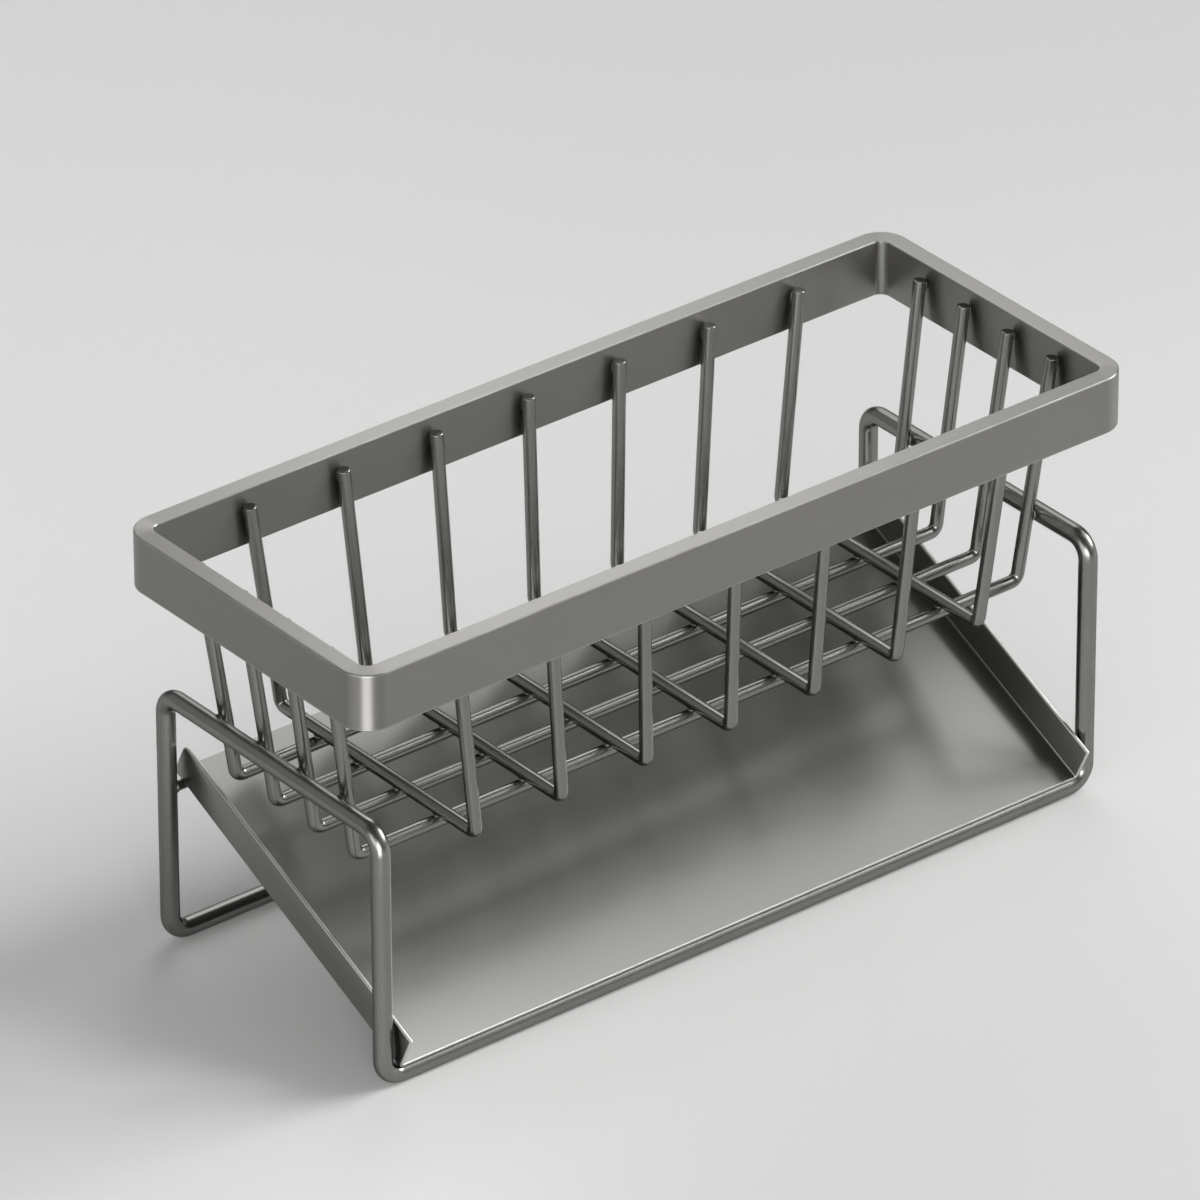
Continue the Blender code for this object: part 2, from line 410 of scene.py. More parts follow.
CUT_EDGE_FINISH = SatinSteel(
    name="Bright cut edge steel",
    dark=(0.50, 0.495, 0.475),
    light=(0.58, 0.575, 0.555),
    worn=(0.64, 0.635, 0.62),
    roughness=(0.32, 0.40),
    grain_length=0.004,
    grain_depth=0.000002,
)

# The built materials by their finishes' names, filled by main.
materials: dict[str, bpy.types.Material] = {}


def bent_line(
    corners: Sequence[Vector], radii: Sequence[float], steps: int, closed: bool
) -> list[Station]:
    """Rounds each turn of a line through the corners.

    Args:
        corners: The sharp corners in order.
        radii: The centre line's bend radius at each corner.
        steps: Steps of each bend.
        closed: Whether the last corner joins the first.

    Returns:
        The stations of the line.
    """
    line: list[Station] = []
    last = len(corners) - 1
    for index, (corner, radius) in enumerate(zip(corners, radii)):
        ahead = corners[(index + 1) % len(corners)] - corner
        behind = corner - corners[index - 1]
        if not closed and index in (0, last):
            heading = (ahead if index == 0 else behind).normalized()
            line.append(Station(corner.copy(), heading))
            continue
        before, after = -behind.normalized(), ahead.normalized()
        opening = before.angle(after)
        centre = corner + (before + after).normalized() * (radius / math.sin(opening / 2))
        arm = corner + before * (radius / math.tan(opening / 2)) - centre
        axis = before.cross(after)
        for step in range(steps + 1):
            turn = Quaternion(-axis, (math.pi - opening) * step / steps)
            line.append(Station(centre + turn @ arm, turn @ -before))
    return line


def bridge_rings(shape: bmesh.types.BMesh, rings: list[list[bmesh.types.BMVert]], closed: bool) -> None:
    """Joins each ring of vertices to the next by a band of faces.

    Args:
        shape: The shape that holds the rings.
        rings: The rings in order, all with the same number of vertices.
        closed: Whether the last ring joins the first.
    """
    following = rings[1:] + (rings[:1] if closed else [])
    for ring, ahead in zip(rings, following):
        for index in range(len(ring)):
            beyond = (index + 1) % len(ring)
            shape.faces.new((ring[index], ring[beyond], ahead[beyond], ahead[index]))


def linked_object(name: str, data: bpy.types.ID) -> bpy.types.Object:
    """Makes an object and links it to the scene.

    Args:
        name: The object's name.
        data: Its mesh, lamp or camera.

    Returns:
        The linked object.
    """
    made = bpy.data.objects.new(name, data)
    bpy.context.scene.collection.objects.link(made)
    return made


def keep_flats_flat(mesh: bpy.types.Mesh) -> None:
    """Weighs vertex normals by the faces' areas, so that rounded edges don't bend the flats' shading.

    Args:
        mesh: The mesh whose normals are set.
    """
    totals = [Vector() for _ in mesh.vertices]
    for face in mesh.polygons:
        for index in face.vertices:
            totals[index] += face.normal * face.area
    mesh.normals_split_custom_set_from_vertices([total.normalized() for total in totals])


def finished_object(
    name: str,
    shape: bmesh.types.BMesh,
    finish: SatinSteel,
    grain: dict[int, Vector] | None = None,
    drawn: dict[int, Vector] | None = None,
) -> bpy.types.Object:
    """Turns a shape into a smooth shaded object with its finish and grain.

    Args:
        name: The object's name.
        shape: The shape, which is freed.
        finish: The steel finish.
        grain: Straightened coordinates of each vertex, with the last along the grain.
        drawn: Direction of the grain at each vertex.

    Returns:
        The new object, linked to the scene.
    """
    bmesh.ops.recalc_face_normals(shape, faces=shape.faces[:])
    mesh = bpy.data.meshes.new(name)
    shape.to_mesh(mesh)
    shape.free()
    mesh.shade_smooth()
    mesh.set_sharp_from_angle(angle=SHARP_ANGLE)
    if finish.flat_faces:
        keep_flats_flat(mesh)
    for label, vectors in ((GRAIN, grain), (DRAWN, drawn)):
        if vectors is None:
            continue
        attribute = mesh.attributes.new(label, "FLOAT_VECTOR", "POINT")
        for index, vector in vectors.items():
            attribute.data[index].vector = vector
    mesh.materials.append(materials[finish.name])
    return linked_object(name, mesh)


def place_on(piece: bpy.types.Object, body: Body, slot: Slot, node: str | None = None) -> None:
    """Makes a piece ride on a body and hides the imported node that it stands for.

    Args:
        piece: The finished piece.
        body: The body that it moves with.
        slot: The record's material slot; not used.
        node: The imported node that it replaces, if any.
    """
    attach(piece, body.value)
    if node is not None:
        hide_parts(node)
    log.info("%s on %s, %d faces", piece.name, body.value, len(piece.data.polygons))


@dataclass
class RoundRod:
    """A round rod swept along its centre line.

    Attributes:
        name: The piece's name.
        line: The centre line.
        diameter: The rod's diameter.
        finish: Its finish.
        closed: Whether the line is a loop.
        sides: Facets round the rod.
        end_rounding: Radius of the edge of a cut end.
        end_steps: Steps of that rounding.
    """

    name: str
    line: list[Station]
    diameter: float
    finish: SatinSteel
    closed: bool = False
    sides: int = 32
    end_rounding: float = 0.0004
    end_steps: int = 4

    def rings(self) -> list[tuple[Station, float, float]]:
        """The rings of the rod.

        Returns:
            Each ring's station, radius and distance along the line.
        """
        radius = self.diameter / 2
        rings = []
        travelled = 0.0
        for index, station in enumerate(self.line):
            if index:
                travelled += (station.place - self.line[index - 1].place).length
            rings.append((station, radius, travelled))
        if self.closed:
            return rings
        first, last = self.line[0], self.line[-1]
        head, tail = [], []
        for step in range(self.end_steps + 1):
            turn = QUARTER_TURN * step / self.end_steps
            inset = self.end_rounding * (1 - math.cos(turn))
            size = radius - self.end_rounding * (1 - math.sin(turn))
            start = Station(first.place + first.heading * inset, first.heading)
            end = Station(last.place - last.heading * inset, last.heading)
            head.append((start, size, inset))
            tail.append((end, size, travelled - inset))
        return head + rings[1:-1] + tail[::-1]

    def build(self) -> bpy.types.Object:
        """Builds the rod.

        Returns:
            The new object.
        """
        shape = bmesh.new()
        grain: dict[int, Vector] = {}
        drawn: dict[int, Vector] = {}
        heading = self.line[0].heading
        upright = Vector((0, 0, 1)) if abs(heading.z) < STEEP_HEADING else Vector((0, 1, 0))
        normal = (upright - heading * upright.dot(heading)).normalized()
        loops = []
        for station, radius, travelled in self.rings():
            normal = heading.rotation_difference(station.heading) @ normal
            heading = station.heading
            side = heading.cross(normal)
            loop = []
            for index in range(self.sides):
                turn = 2 * math.pi * index / self.sides
                flat = Vector((radius * math.cos(turn), radius * math.sin(turn), travelled))
                vertex = shape.verts.new(station.place + normal * flat.x + side * flat.y)
                number = len(grain)
                grain[number] = flat
                drawn[number] = heading.copy()
                loop.append(vertex)
            loops.append(loop)
        bridge_rings(shape, loops, self.closed)
        if not self.closed:
            shape.faces.new(loops[0])
            shape.faces.new(loops[-1])
        return finished_object(self.name, shape, self.finish, grain, drawn)


@dataclass
class Rim:
    """The flat bar bent into a ring and standing on edge.

    Attributes:
        length: Size along X.
        depth: Size along Y.
        top: Height of the upper edge.
        height: Height of the bar.
        thickness: Thickness of the bar.
        corner_radius: Outer radius of the corners.
        edge_rounding: Radius of the bar's long edges.
        edge_band: Width of the band beside each of them, in which they look worn.
        corner_steps: Steps of each corner.
        edge_steps: Steps of each rounded edge.
    """

    length: float = 0.295
    depth: float = 0.1166
    top: float = 0.1465
    height: float = 0.019
    thickness: float = 0.0062
    corner_radius: float = 0.0095
    edge_rounding: float = 0.0005
    edge_band: float = 0.0006
    corner_steps: int = 24
    edge_steps: int = 4

    @property
    def inner_half_length(self) -> float:
        """Distance from the middle to the inner face of an end."""
        return self.length / 2 - self.thickness

    @property
    def inner_half_depth(self) -> float:
        """Distance from the middle to the inner face of a long side."""
        return self.depth / 2 - self.thickness

    def section(self) -> Outline:
        """Draws the bar's section, with each corner rounded between two narrow flat bands.

        Returns:
            Points around the section, as distance in from the outer face and depth below the top.
        """
        rounding = self.edge_rounding
        points: Outline = []
        # Each corner's centre, and the quarter turn at which its arc starts.
        for across, down, start in (
            (rounding, rounding, 2),
            (self.thickness - rounding, rounding, 3),
            (self.thickness - rounding, self.height - rounding, 0),
            (rounding, self.height - rounding, 1),
        ):
            arc: Outline = []
            for step in range(self.edge_steps + 1):
                turn = QUARTER_TURN * (start + step / self.edge_steps)
                reach = across + rounding * math.cos(turn)
                arc.append((reach, down + rounding * math.sin(turn)))
            ahead = QUARTER_TURN * start
            run_in = (self.edge_band * math.sin(ahead), -self.edge_band * math.cos(ahead))
            run_out = (-self.edge_band * math.cos(ahead), -self.edge_band * math.sin(ahead))
            first, last = arc[0], arc[-1]
            points.append((first[0] + run_in[0], first[1] + run_in[1]))
            points += arc
            points.append((last[0] + run_out[0], last[1] + run_out[1]))
        return points

    def build(self) -> None:
        """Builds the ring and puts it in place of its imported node."""
        shape = bmesh.new()
        grain: dict[int, Vector] = {}
        drawn: dict[int, Vector] = {}
        section = self.section()
        arc = self.corner_radius * QUARTER_TURN
        travelled = 0.0
        rings = []
        for quarter in range(4):
            start = QUARTER_TURN * quarter
            middle = start + QUARTER_TURN / 2
            centre_x = math.copysign(self.length / 2 - self.corner_radius, math.cos(middle))
            centre_y = math.copysign(self.depth / 2 - self.corner_radius, math.sin(middle))
            for step in range(self.corner_steps + 1):
                turn = start + QUARTER_TURN * step / self.corner_steps
                out = Vector((math.cos(turn), math.sin(turn), 0))
                along = Vector((-out.y, out.x, 0))
                ring = []
                for across, down in section:
                    reach = self.corner_radius - across
                    place = Vector((centre_x, centre_y, self.top - down)) + out * reach
                    number = len(grain)
                    grain[number] = Vector((across, down, travelled + arc * step / self.corner_steps))
                    drawn[number] = along
                    ring.append(shape.verts.new(place))
                rings.append(ring)
            straight = self.depth if quarter % 2 else self.length
            travelled += arc + straight - 2 * self.corner_radius
        bridge_rings(shape, rings, True)
        piece = finished_object("rim_bar", shape, RIM_FINISH, grain, drawn)
        place_on(piece, Body.FRAME, Slot.RIM, "rim_band")


@dataclass
class Stand:
    """One round rod bent into a closed saddle, with a thin rest rod between its back legs.

    Attributes:
        length: Size along X.
        depth: Size along Y.
        height: Size along Z.
        rod_diameter: The rod's diameter.
        top_bend: Bend radius at the top corners.
        foot_bend: Bend radius at the foot corners.
        rest_diameter: The rest rod's diameter.
        rest_height: Height of the rest rod's axis.
        bend_steps: Steps of each bend.
    """

    length: float = 0.2793
    depth: float = 0.1107
    height: float = 0.0906
    rod_diameter: float = 0.006
    top_bend: float = 0.0066
    foot_bend: float = 0.0064
    rest_diameter: float = 0.0032
    rest_height: float = 0.0536
    bend_steps: int = 16

    @property
    def leg_x(self) -> float:
        """Distance from the middle to a leg's axis along X."""
        return (self.length - self.rod_diameter) / 2

    @property
    def leg_y(self) -> float:
        """Distance from the middle to a leg's axis along Y."""
        return (self.depth - self.rod_diameter) / 2

    @property
    def rail_z(self) -> float:
        """Height of the top rails' axis."""
        return self.height - self.rod_diameter / 2

    def corners(self) -> list[Vector]:
        """Places the sharp corners of the closed saddle.

        Returns:
            The eight corners in order along the rod.
        """
        low = self.rod_diameter / 2
        x, y, high = self.leg_x, self.leg_y, self.rail_z
        return [
            Vector((-x, -y, low)),
            Vector((x, -y, low)),
            Vector((x, -y, high)),
            Vector((x, y, high)),
            Vector((x, y, low)),
            Vector((-x, y, low)),
            Vector((-x, y, high)),
            Vector((-x, -y, high)),
        ]

    def build(self) -> None:
        """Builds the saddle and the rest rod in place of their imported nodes."""
        corners = self.corners()
        radii = [self.top_bend if corner.z > self.height / 2 else self.foot_bend for corner in corners]
        line = bent_line(corners, radii, self.bend_steps, True)
        saddle = RoundRod("stand_rod", line, self.rod_diameter, ROD_FINISH, closed=True, sides=40)
        place_on(saddle.build(), Body.FRAME, Slot.ROD, "stand_frame")
        reach = self.leg_x - self.rod_diameter / 2
        ends = [Vector((side.value * reach, self.leg_y, self.rest_height)) for side in Side]
        rest = bent_line(ends, (0, 0), 1, False)
        rod = RoundRod("rest_rod", rest, self.rest_diameter, ROD_FINISH, end_rounding=0.0001)
        place_on(rod.build(), Body.FRAME, Slot.ROD, "tray_rest_rod")


@dataclass
class Basket:
    """The U shaped wires welded inside the rim.

    Attributes:
        rim: The rim that carries the wires.
        stand: The stand that the end wires touch.
        wire: Diameter of the wires.
        end_drop: How far the cut ends lie below the rim's top.
        clearance: Gap that the welds fill.
        floor_height: Height of the long wires' axis at the floor.
        cross_count: Number of wires from front to back.
        cross_margin_at_rim: Distance from the rim's end to the outermost of them, at the rim.
        cross_margin_at_floor: The same, at the floor.
        cross_lean: How far they come in from rim to floor.
        cross_bend: Their bend radius.
        long_count: Number of wires from end to end.
        long_margin_at_rim: Distance from the rim's side to the outermost of them, at the rim.
        long_margin_at_floor: The same, at the floor.
        long_bend: Their bend radius.
        bend_steps: Steps of each bend.
    """

    rim: Rim
    stand: Stand
    wire: float = 0.0042
    end_drop: float = 0.0045
    clearance: float = 0.0003
    floor_height: float = 0.0665
    cross_count: int = 7
    cross_margin_at_rim: float = 0.0416
    cross_margin_at_floor: float = 0.0503
    cross_lean: float = 0.0024
    cross_bend: float = 0.0024
    long_count: int = 4
    long_margin_at_rim: float = 0.0271
    long_margin_at_floor: float = 0.02935
    long_bend: float = 0.003
    bend_steps: int = 12
    cross_lines: list[list[Vector]] = field(default_factory=list)
    long_lines: list[list[Vector]] = field(default_factory=list)

    @staticmethod
    def even_place(index: int, count: int, whole: float, margin: float) -> float:
        """The place of one wire of an evenly spread row, from the middle."""
        return (whole / 2 - margin) * (2 * index / (count - 1) - 1)

    @property
    def top_z(self) -> float:
        """Height of the cut ends."""
        return self.rim.top - self.end_drop

    @property
    def cross_floor(self) -> float:
        """Height of the cross wires' axis at the floor."""
        return self.floor_height + self.wire + self.clearance

    def end_slope(self) -> float:
        """Leans an end wire so that it just clears the stand's rail.

        Returns:
            How far the wire comes in for each metre down.
        """
        top_x = self.rim.inner_half_length - self.clearance - self.wire / 2
        run, rise = top_x - self.stand.leg_x, self.top_z - self.stand.rail_z
        apart = (self.stand.rod_diameter + self.wire) / 2 + self.clearance
        return math.tan(math.atan2(run, rise) + math.asin(apart / math.hypot(run, rise)))

    def lay_out(self) -> None:
        """Works out the corners of every wire."""
        top_y = self.rim.inner_half_depth - self.clearance - self.wire / 2
        low_y = top_y - self.cross_lean
        for index in range(self.cross_count):
            count, whole = self.cross_count, self.rim.length
            top_x = self.even_place(index, count, whole, self.cross_margin_at_rim)
            low_x = self.even_place(index, count, whole, self.cross_margin_at_floor)
            self.cross_lines.append(
                [
                    Vector((top_x, -top_y, self.top_z)),
                    Vector((low_x, -low_y, self.cross_floor)),
                    Vector((low_x, low_y, self.cross_floor)),
                    Vector((top_x, top_y, self.top_z)),
                ]
            )
        top_x = self.rim.inner_half_length - self.clearance - self.wire / 2
        low_x = top_x - self.end_slope() * (self.top_z - self.floor_height)
        for index in range(self.long_count):
            count, whole = self.long_count, self.rim.depth
            top_y = self.even_place(index, count, whole, self.long_margin_at_rim)
            low_y = self.even_place(index, count, whole, self.long_margin_at_floor)
            self.long_lines.append(
                [
                    Vector((-top_x, top_y, self.top_z)),
                    Vector((-low_x, low_y, self.floor_height)),
                    Vector((low_x, low_y, self.floor_height)),
                    Vector((top_x, top_y, self.top_z)),
                ]
            )

    def build(self) -> None:
        """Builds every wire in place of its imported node."""
        self.lay_out()
        for label, node, lines, bend in (
            ("wire_across", "cross_wire", self.cross_lines, self.cross_bend),
            ("wire_along", "long_wire", self.long_lines, self.long_bend),
        ):
            for number, corners in enumerate(lines, start=1):
                line = bent_line(corners, [bend] * len(corners), self.bend_steps, False)
                wire = RoundRod(f"{label}_{number}", line, self.wire, WIRE_FINISH)
                place_on(wire.build(), Body.FRAME, Slot.WIRE, f"{node}_{number}")


@dataclass
class WeldBead:
    """One small weld, as a squashed and slightly uneven ball.

    Attributes:
        place: Its middle.
        half_sizes: Half its size along its own three axes.
        axes: Those axes.
    """

    place: Vector
    half_sizes: Vector
    axes: Matrix


@dataclass
class Welds:
    """The welds between the wires, the rim, the stand's rails and the rest rod.

    Attributes:
        basket: The basket whose wires they hold.
        unevenness: How far a bead's skin departs from a smooth ball, as a share of its size.
        lump_scale: Lumps over a bead's half size.
        bead_shift: Shift of the lumps from one bead to the next.
        detail: Subdivisions of each bead.
        crossing_bead: Half sizes of a bead at a crossing.
        across_half_length: Half length of a bead at the end of a wire across.
        along_half_length: The same, at the end of a wire along.
        rim_half_section: Half width and half thickness of a bead at the rim.
        rim_inset: How far such a bead starts below its wire's end.
        rail_bead: Half sizes of a bead at a top rail.
        leg_bead: Half sizes of a bead at a back leg.
    """

    basket: Basket
    unevenness: float = 0.10
    lump_scale: float = 1.7
    bead_shift: float = 3.1
    detail: int = 3
    crossing_bead: Triple = (0.0015, 0.0015, 0.00055)
    across_half_length: float = 0.0030
    along_half_length: float = 0.0018
    rim_half_section: tuple[float, float] = (0.0011, 0.0005)
    rim_inset: float = 0.0006
    rail_bead: Triple = (0.0017, 0.0015, 0.0006)
    leg_bead: Triple = (0.0009, 0.0019, 0.0019)

    @staticmethod
    def axes(first: Vector, second: Vector) -> Matrix:
        """Squares up a bead's axes.

        Args:
            first: The first axis, kept as it is.
            second: A direction near the second axis.

        Returns:
            Three square axes as the columns of a matrix.
        """
        first = first.normalized()
        third = first.cross(second).normalized()
        return Matrix((first, third.cross(first), third)).transposed()

    def at_crossings(self) -> Iterable[WeldBead]:
        """Places the beads where the floor's wires cross.

        Yields:
            One bead for each crossing.
        """
        height = self.basket.floor_height + (self.basket.wire + self.basket.clearance) / 2
        for across in self.basket.cross_lines:
            for along in self.basket.long_lines:
                place = Vector((across[1].x, along[1].y, height))
                yield WeldBead(place, Vector(self.crossing_bead), Matrix.Identity(3))

    def at_rim(self) -> Iterable[WeldBead]:
        """Places the beads between the wires' ends and the rim's inner faces.

        Yields:
            One bead for each end of each wire.
        """
        for corners, length in (
            *((corners, self.across_half_length) for corners in self.basket.cross_lines),
            *((corners, self.along_half_length) for corners in self.basket.long_lines),
        ):
            flat = Vector((corners[0].x - corners[-1].x, corners[0].y - corners[-1].y, 0))
            out = flat.normalized()
            reach = (self.basket.wire + self.basket.clearance) / 2
            for end, inner, facing in ((corners[0], corners[1], out), (corners[-1], corners[-2], -out)):
                down = (inner - end).normalized()
                place = end + down * (length + self.rim_inset) + facing * reach
                half_sizes = Vector((length, *self.rim_half_section))
                yield WeldBead(place, half_sizes, self.axes(down, down.cross(facing)))

    def at_rails(self) -> Iterable[WeldBead]:
        """Places the beads between the long wires' end legs and the stand's top rails.

        Yields:
            One bead for each end of each long wire.
        """
        stand = self.basket.stand
        for corners in self.basket.long_lines:
            for end, inner in ((corners[0], corners[1]), (corners[-1], corners[-2])):
                rail = Vector((math.copysign(stand.leg_x, end.x), 0, stand.rail_z))
                down = (inner - end).normalized()
                flat = Vector((end.x, 0, end.z))
                slope = Vector((down.x, 0, down.z)).normalized()
                foot = flat + slope * (rail - flat).dot(slope)
                share = (foot.z - end.z) / (inner.z - end.z)
                inward = (foot - rail).normalized()
                place = rail + inward * ((stand.rod_diameter + self.basket.clearance) / 2)
                place.y = end.y + (inner.y - end.y) * share
                yield WeldBead(place, Vector(self.rail_bead), self.axes(slope, Vector((0, 1, 0))))

    def at_legs(self) -> Iterable[WeldBead]:
        """Places the beads between the rest rod and the back legs.

        Yields:
            One bead for each side.
        """
        stand = self.basket.stand
        for side in Side:
            reach = side.value * (stand.leg_x - stand.rod_diameter / 2)
            place = Vector((reach, stand.leg_y, stand.rest_height))
            yield WeldBead(place, Vector(self.leg_bead), Matrix.Identity(3))

    def build(self) -> None:
        """Builds each group of beads as one piece."""
        for name, slot, beads in (
            ("welds_at_crossings", Slot.WIRE, self.at_crossings()),
            ("welds_at_rim", Slot.RIM, self.at_rim()),
            ("welds_at_rails", Slot.ROD, self.at_rails()),
            ("welds_at_legs", Slot.ROD, self.at_legs()),
        ):
            shape = bmesh.new()
            for number, bead in enumerate(beads):
                made = bmesh.ops.create_icosphere(shape, subdivisions=self.detail, radius=1.0)
                for vertex in made["verts"]:
                    shift = Vector((number * self.bead_shift, 0, 0))
                    bump = noise(vertex.co * self.lump_scale + shift)
                    skin = vertex.co * (1 + self.unevenness * bump)
                    sized = Vector((skin[axis] * bead.half_sizes[axis] for axis in range(3)))
                    vertex.co = bead.place + bead.axes @ sized
            place_on(finished_object(name, shape, WELD_FINISH), Body.FRAME, slot)


@dataclass
class DripTray:
    """A folded sheet with a flange at each end, lying on the front rail and the rest rod.

    Attributes:
        stand: The stand that carries it.
        sheet: Thickness of the sheet.
        side_gap: Gap between a flange and the leg beside it.
        flange_height: Height of a flange above the floor's upper face.
        front_overhang: How far the sheet goes past the front rail's middle, down the slope.
        back_overhang: How far it goes past the rest rod's middle, up the slope.
        fold_radius: Inner radius of the folds.
        back_corner: Radius of the flanges' upper back corners.
        clearance: Gap between the sheet and what carries it.
        fold_steps: Steps of each fold.
        edge_rounding: Radius of the sheet's cut edges.
        edge_steps: Steps of that rounding.
    """

    stand: Stand
    sheet: float = 0.0012
    side_gap: float = 0.0013
    flange_height: float = 0.0123
    front_overhang: float = 0.0008
    back_overhang: float = 0.0039
    fold_radius: float = 0.0006
    back_corner: float = 0.0025
    clearance: float = 0.0003
    fold_steps: int = 6
    edge_rounding: float = 0.0004
    edge_steps: int = 3

    def slope(self) -> float:
        """Lays the sheet on the front rail and on the thinner rest rod.

        Returns:
            The sheet's angle to the counter, in radians.
        """
        run = 2 * self.stand.leg_y
        rise = self.stand.rest_height - self.stand.rod_diameter / 2
        unlike = (self.stand.rod_diameter - self.stand.rest_diameter) / 2
        return math.atan2(rise, run) - math.asin(unlike / math.hypot(run, rise))

    def length(self) -> float:
        """Adds what hangs over at the front and at the back to the distance between the rods.

        Returns:
            The sheet's length down the slope, in metres.
        """
        run = 2 * self.stand.leg_y
        rise = self.stand.rest_height - self.stand.rod_diameter / 2
        return math.hypot(run, rise) + self.front_overhang + self.back_overhang

    def section(self) -> Outline:
        """Draws the fold and the flange at one end of the sheet's upper face.

        Returns:
            Points from the floor's end to the flange's top, as distance from the middle and height.
        """
        wall = self.stand.length / 2 - self.stand.rod_diameter - self.side_gap - self.sheet
        points: Outline = []
        for step in range(self.fold_steps + 1):
            turn = QUARTER_TURN * step / self.fold_steps
            across = wall - self.fold_radius + self.fold_radius * math.sin(turn)
            points.append((across, self.fold_radius * (1 - math.cos(turn))))
        points.append((wall, self.flange_height))
        return points

    def build(self) -> None:
        """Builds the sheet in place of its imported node."""
        half = self.section()
        section = [(-x, z) for x, z in reversed(half)] + half
        length = self.length()
        shape = bmesh.new()
        front = [shape.verts.new((x, 0, z)) for x, z in section]
        back = [shape.verts.new((x, length, z)) for x, z in section]
        for index in range(len(section) - 1):
            shape.faces.new((front[index], front[index + 1], back[index + 1], back[index]))
        bmesh.ops.bevel(
            shape,
            geom=[back[0], back[-1]],
            offset=self.back_corner,
            offset_type="OFFSET",
            segments=self.fold_steps,
            profile=0.5,
            affect="VERTICES",
        )
        shape.normal_update()
        mesh = bpy.data.meshes.new("tray sheet draft")
        shape.to_mesh(mesh)
        shape.free()
        for finish in (TRAY_FINISH, CUT_EDGE_FINISH):
            mesh.materials.append(materials[finish.name])
        draft = linked_object("tray sheet draft", mesh)
        thick = draft.modifiers.new("Sheet", "SOLIDIFY")
        thick.thickness = self.sheet
        thick.offset = -1
        thick.use_even_offset = True
        thick.material_offset_rim = CUT_EDGE_INDEX
        soften = draft.modifiers.new("Cut edges", "BEVEL")
        soften.width = self.edge_rounding
        soften.segments = self.edge_steps
        soften.limit_method = "ANGLE"
        soften.angle_limit = SHARP_ANGLE
        soften.material = CUT_EDGE_INDEX
        graph = bpy.context.evaluated_depsgraph_get()
        shape = bmesh.new()
        shape.from_object(draft, graph)
        bpy.data.objects.remove(draft)
        self.place_sheet(shape)

    def place_sheet(self, shape: bmesh.types.BMesh) -> None:
        """Lays the thick sheet on the slope with its grain.

        Args:
            shape: The sheet, lying flat with its front edge on X.
        """
        slope = self.slope()
        tilt = Matrix.Rotation(slope, 4, "X")
        lift = self.stand.rod_diameter / 2 + self.clearance + self.sheet
        rail = Vector((0, -self.stand.leg_y, self.stand.rod_diameter / 2))
        local = Vector((0, -self.front_overhang, lift))
        wall = self.section()[-1][0]
        grain: dict[int, Vector] = {}
        drawn: dict[int, Vector] = {}
        for number, vertex in enumerate(shape.verts):
            flat = vertex.co.copy()
            up_flange = abs(flat.x) > wall - self.fold_radius / 2 and flat.z > self.fold_radius
            spread = math.copysign(abs(flat.x) + max(flat.z, 0), flat.x)
            grain[number] = Vector((flat.y, 0, spread))
            drawn[number] = tilt @ Vector((0, 0, 1)) if up_flange else Vector((1, 0, 0))
            vertex.co = rail + tilt @ (flat + local)
        piece = finished_object("tray_sheet", shape, TRAY_FINISH, grain, drawn)
        piece.data.materials.append(materials[CUT_EDGE_FINISH.name])
        place_on(piece, Body.TRAY, Slot.TRAY, "drip_tray")


@dataclass(frozen=True)
class BrightPatch:
    """A soft bright patch of the dome.

    Attributes:
        name: Its name.
        direction: Where its middle lies, seen from the object.
        spread: Cosines of the angles at which it ends and is full.
        level: How much it adds to the dome.
    """

    name: str
    direction: Triple
    spread: tuple[float, float]
    level: float


@dataclass(frozen=True)
class Softbox:
    """A softbox that faces a part of the object.

    Attributes:
        name: Its name.
        place: Where it hangs.
        size: Its width and height.
        power: Its power in watts.
        aim: The point that it faces.
    """

    name: str
    place: Triple
    size: tuple[float, float]
    power: float
    aim: Triple

    def hang(self) -> None:
        """Adds the lamp to the scene."""
        lamp = bpy.data.lights.new(self.name, "AREA")
        lamp.shape = "RECTANGLE"
        lamp.size, lamp.size_y = self.size
        lamp.energy = self.power
        holder = linked_object(self.name, lamp)
        holder.visible_camera = False
        holder.location = self.place
        holder.rotation_mode = "QUATERNION"
        beam = Vector(self.aim) - Vector(self.place)
        holder.rotation_quaternion = beam.to_track_quat("-Z", "Y")


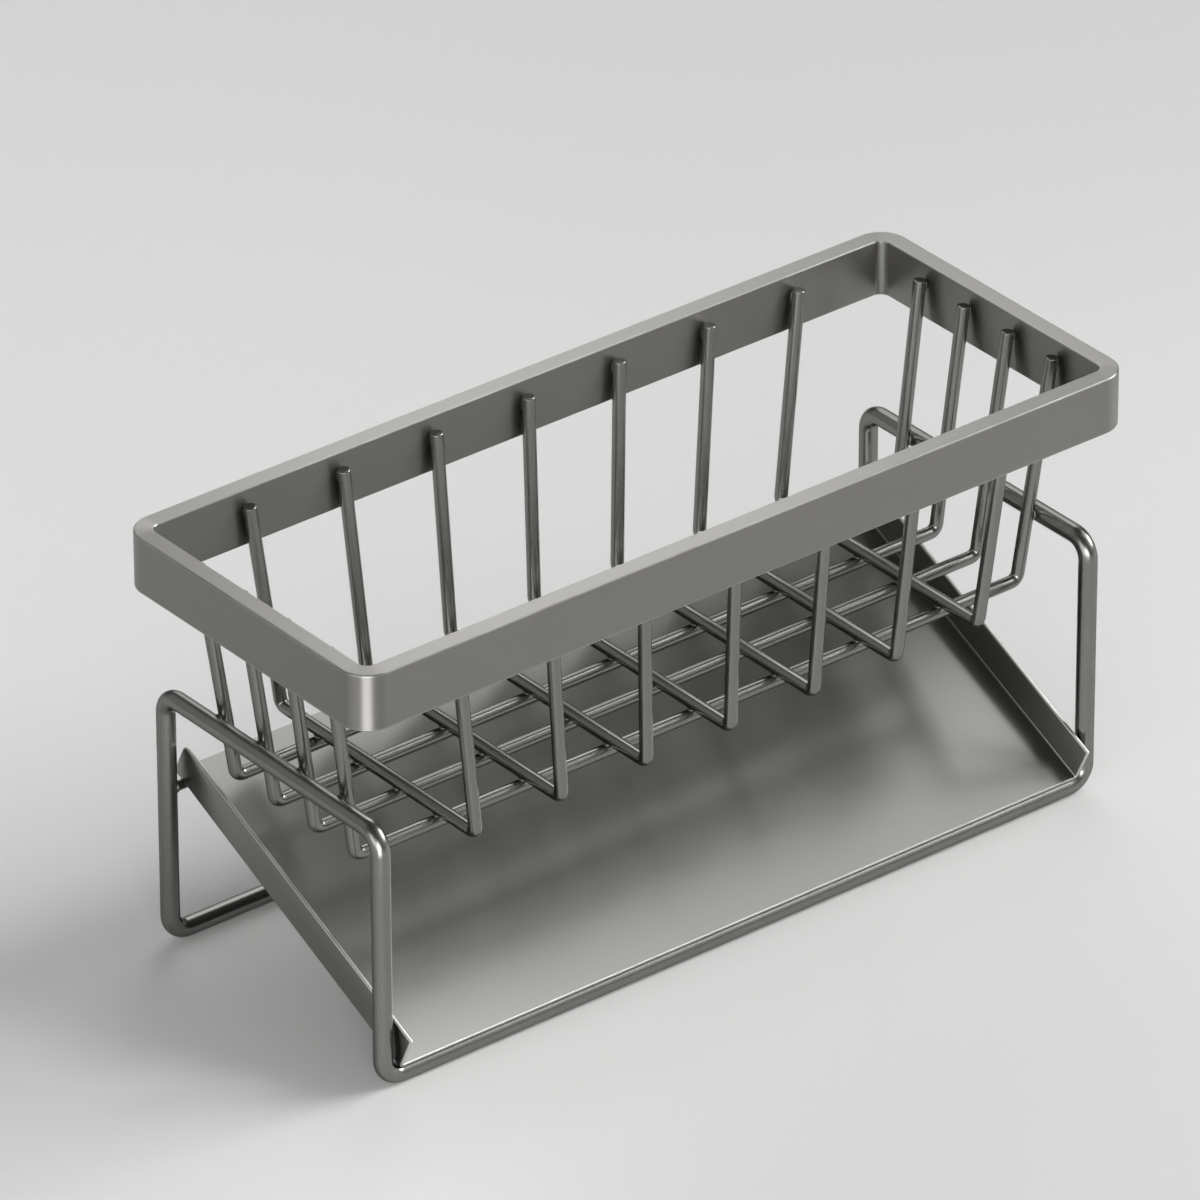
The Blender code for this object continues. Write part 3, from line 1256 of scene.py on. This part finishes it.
@dataclass
class Studio:
    """A plain pale counter under soft light.

    Attributes:
        floor_reach: Half the counter's size.
        floor_drop: How far its face lies below the object's feet.
        dome_level: Brightness of the dome overhead.
        horizon_level: Brightness of the dome round the horizon, like a pale room's far walls.
        horizon_rise: Heights at which that band begins to fade and has gone, as sines.
        patches: The dome's bright patches.
        softboxes: The lamps.
    """

    floor_reach: float = 15.0
    floor_drop: float = 0.00005
    dome_level: float = 0.14
    horizon_level: float = 0.62
    horizon_rise: tuple[float, float] = (0.03, 0.10)
    patches: tuple[BrightPatch, ...] = (
        BrightPatch("key", (0.811, -0.312, 0.502), (0.955, 0.975), 12.9),
        BrightPatch("tray sheen", (0.557, -0.557, 0.616), (0.75, 0.97), 0.65),
        BrightPatch("rim top sheen", (0.545, 0.673, 0.500), (0.92, 0.99), 1.7),
        BrightPatch("left rail sheen", (-0.539, 0.673, 0.508), (0.80, 0.97), 0.40),
        BrightPatch("left wall", (-0.970, -0.187, 0.157), (0.90, 0.97), 3.0),
        BrightPatch("front wall", (-0.615, -0.785, 0.075), (0.90, 0.975), 8.0),
    )
    softboxes: tuple[Softbox, ...] = (
        Softbox("corner light", (-0.228, -0.157, 0.061), (0.08, 0.05), 0.062, (-0.145, -0.056, 0.137)),
        Softbox("rim light", (0.21, 0.26, 0.476), (0.25, 0.25), 0.37, (-0.14, -0.055, 0.1465)),
        Softbox("tray strip", (0.242, -0.141, 0.374), (0.06, 0.32), 0.074, (0.0, -0.048, 0.006)),
        Softbox("tray corner light", (0.357, -0.056, 0.397), (0.12, 0.08), 0.09, (0.115, -0.020, 0.020)),
    )

    def lay_floor(self) -> None:
        """Lays the counter."""
        shape = bmesh.new()
        bmesh.ops.create_grid(shape, x_segments=1, y_segments=1, size=self.floor_reach)
        mesh = bpy.data.meshes.new("counter")
        shape.to_mesh(mesh)
        shape.free()
        mesh.materials.append(PaleFloor().build())
        counter = linked_object("counter", mesh)
        counter.location.z = -self.floor_drop

    def light_dome(self) -> None:
        """Makes the dome that lights the object from all round, mostly from its bright patches."""
        world = bpy.data.worlds.new("Studio dome")
        bpy.context.scene.world = world
        world.use_nodes = True
        graph = NodeGraph(world.node_tree)
        world.node_tree.nodes.clear()
        direction = graph.add("ShaderNodeTexCoord").outputs["Generated"]
        height = graph.add("ShaderNodeSeparateXYZ")
        graph.join(direction, height.inputs[0])
        level = graph.ranged(height.outputs["Z"], *self.horizon_rise, self.horizon_level, self.dome_level)
        for patch in self.patches:
            facing = graph.add("ShaderNodeVectorMath", operation="DOT_PRODUCT", label=patch.name)
            facing.inputs[1].default_value = Vector(patch.direction).normalized()
            graph.join(direction, facing.inputs[0])
            extra = graph.ranged(facing.outputs["Value"], *patch.spread, 0.0, patch.level)
            level = graph.combined("ADD", level, extra)
        glow = graph.add("ShaderNodeBackground")
        graph.join(level, glow.inputs["Strength"])
        output = graph.add("ShaderNodeOutputWorld")
        graph.join(glow.outputs[0], output.inputs["Surface"])

    def build(self) -> None:
        """Lays the counter and puts up the lights."""
        self.lay_floor()
        self.light_dome()
        for softbox in self.softboxes:
            softbox.hang()
        bpy.context.scene.view_settings.view_transform = "Standard"


@dataclass(frozen=True)
class StudioCamera:
    """The long lens that looks down on the front left corner.

    Attributes:
        place: The camera's place.
        aim: The point at the middle of the picture.
        right: Roughly the picture's right hand direction.
        focal_px: Focal length in pixels of the picture.
        picture_px: Width and height of the picture in pixels.
        sensor_mm: Width of the sensor.
        clip: Nearest and farthest distance that it sees.
    """

    place: Triple = (-2.02990, -2.52390, 1.99677)
    aim: Triple = (0.013284, 0.031615, 0.07375)
    right: Triple = (0.78047, -0.62520, -0.00160)
    focal_px: float = 12457.27
    picture_px: int = 1200
    sensor_mm: float = 36.0
    clip: tuple[float, float] = (0.1, 100)

    def build(self) -> None:
        """Makes the camera and gives it to the scene."""
        place, aim = Vector(self.place), Vector(self.aim)
        ahead = (aim - place).normalized()
        right = Vector(self.right).normalized()
        down = ahead.cross(right).normalized()
        right = down.cross(ahead).normalized()
        turned = Matrix((right, -down, -ahead)).transposed().to_4x4()
        # The view was fitted to pixel centres, which lie half a pixel past the pixels' corners.
        half_pixel = (aim - place).length / self.focal_px / 2
        turned.translation = place - (right + down) * half_pixel
        data = bpy.data.cameras.new("camera")
        data.sensor_width = self.sensor_mm
        data.lens = self.focal_px / self.picture_px * self.sensor_mm
        data.clip_start, data.clip_end = self.clip
        camera = linked_object("camera", data)
        camera.matrix_world = turned
        bpy.context.scene.camera = camera


def main() -> None:
    """Builds the studio and every piece of the organizer in order."""
    logging.basicConfig(level=logging.INFO, format="%(name)s: %(message)s")
    StudioCamera().build()
    Studio().build()
    for finish in (RIM_FINISH, WIRE_FINISH, ROD_FINISH, WELD_FINISH, TRAY_FINISH, CUT_EDGE_FINISH):
        materials[finish.name] = finish.build()
    rim, stand = Rim(), Stand()
    basket = Basket(rim, stand)
    rim.build()
    stand.build()
    basket.build()
    Welds(basket).build()
    DripTray(stand).build()


if __name__ == "__main__":
    main()
